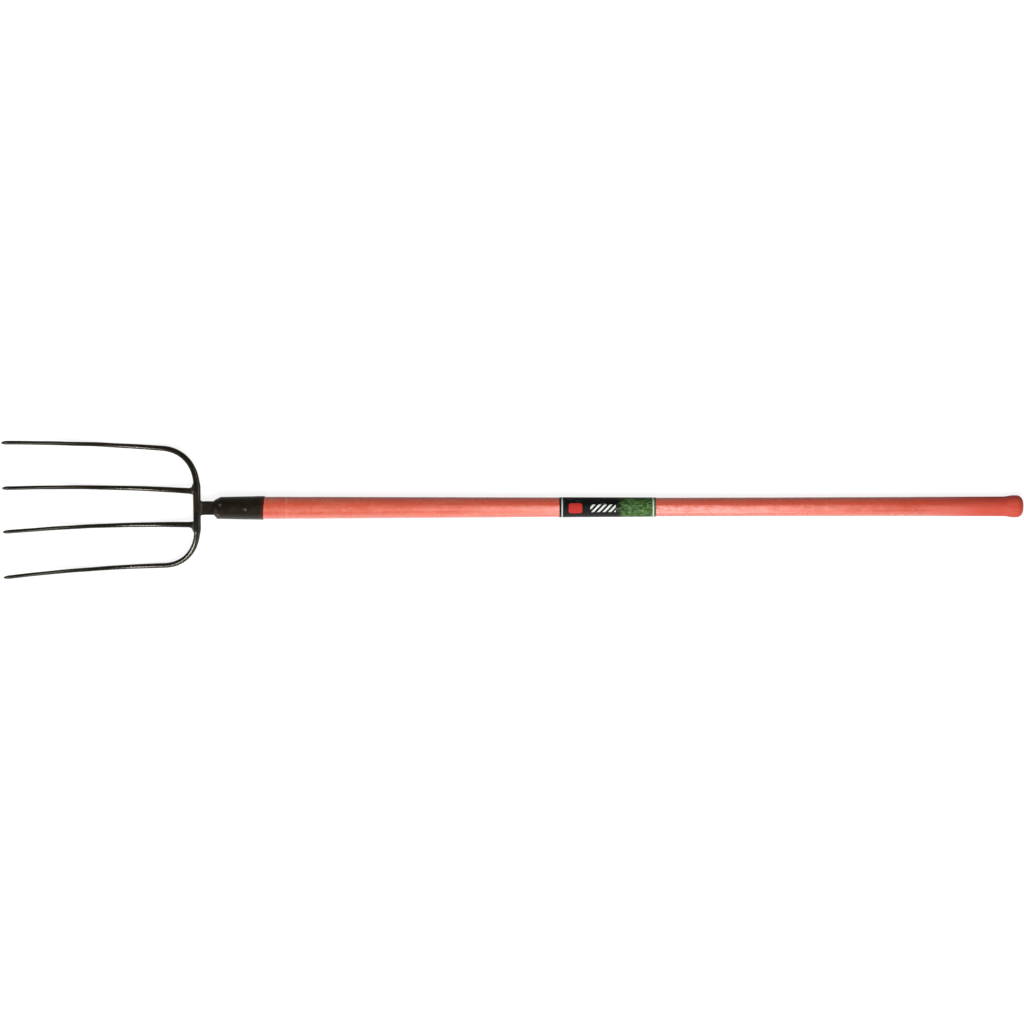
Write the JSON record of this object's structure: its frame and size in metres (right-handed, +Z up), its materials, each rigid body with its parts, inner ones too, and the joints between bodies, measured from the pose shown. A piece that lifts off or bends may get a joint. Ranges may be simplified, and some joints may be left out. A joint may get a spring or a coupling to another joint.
{
  "type": "manure fork",
  "caption": "Manure fork with slender dished steel tines on a bowed crossbar, a capped ferrule riveted to its tang, and a long straight red wood handle with a knob end.",
  "frame": {"origin": "on the ground, under the middle of the fork's bounding box, with the fork lying on its tines' lowest stretch and on the knob", "axes": "+X along the handle from the tines toward the knob, +Y to the left seen along +X, +Z up, out of the tines' hollow side"},
  "size_m": [1.6839, 0.229, 0.0557],
  "materials": {
    "black_steel": "black lacquer over forged steel, semi-gloss, a little uneven",
    "red_wood": "red translucent lacquer over turned ash, satin gloss, grain showing through",
    "label_print": "dark printed film wrapped around the handle, glossy"
  },
  "bodies": {
    "root": {"tine_bow": "black_steel", "inner_tine_left": "black_steel", "inner_tine_right": "black_steel", "tine_welds": "black_steel", "tang": "black_steel", "neck_weld": "black_steel", "ferrule": "black_steel", "ferrule_rivet": "black_steel", "handle": "red_wood", "label": "label_print"}
  },
  "joints": []
}
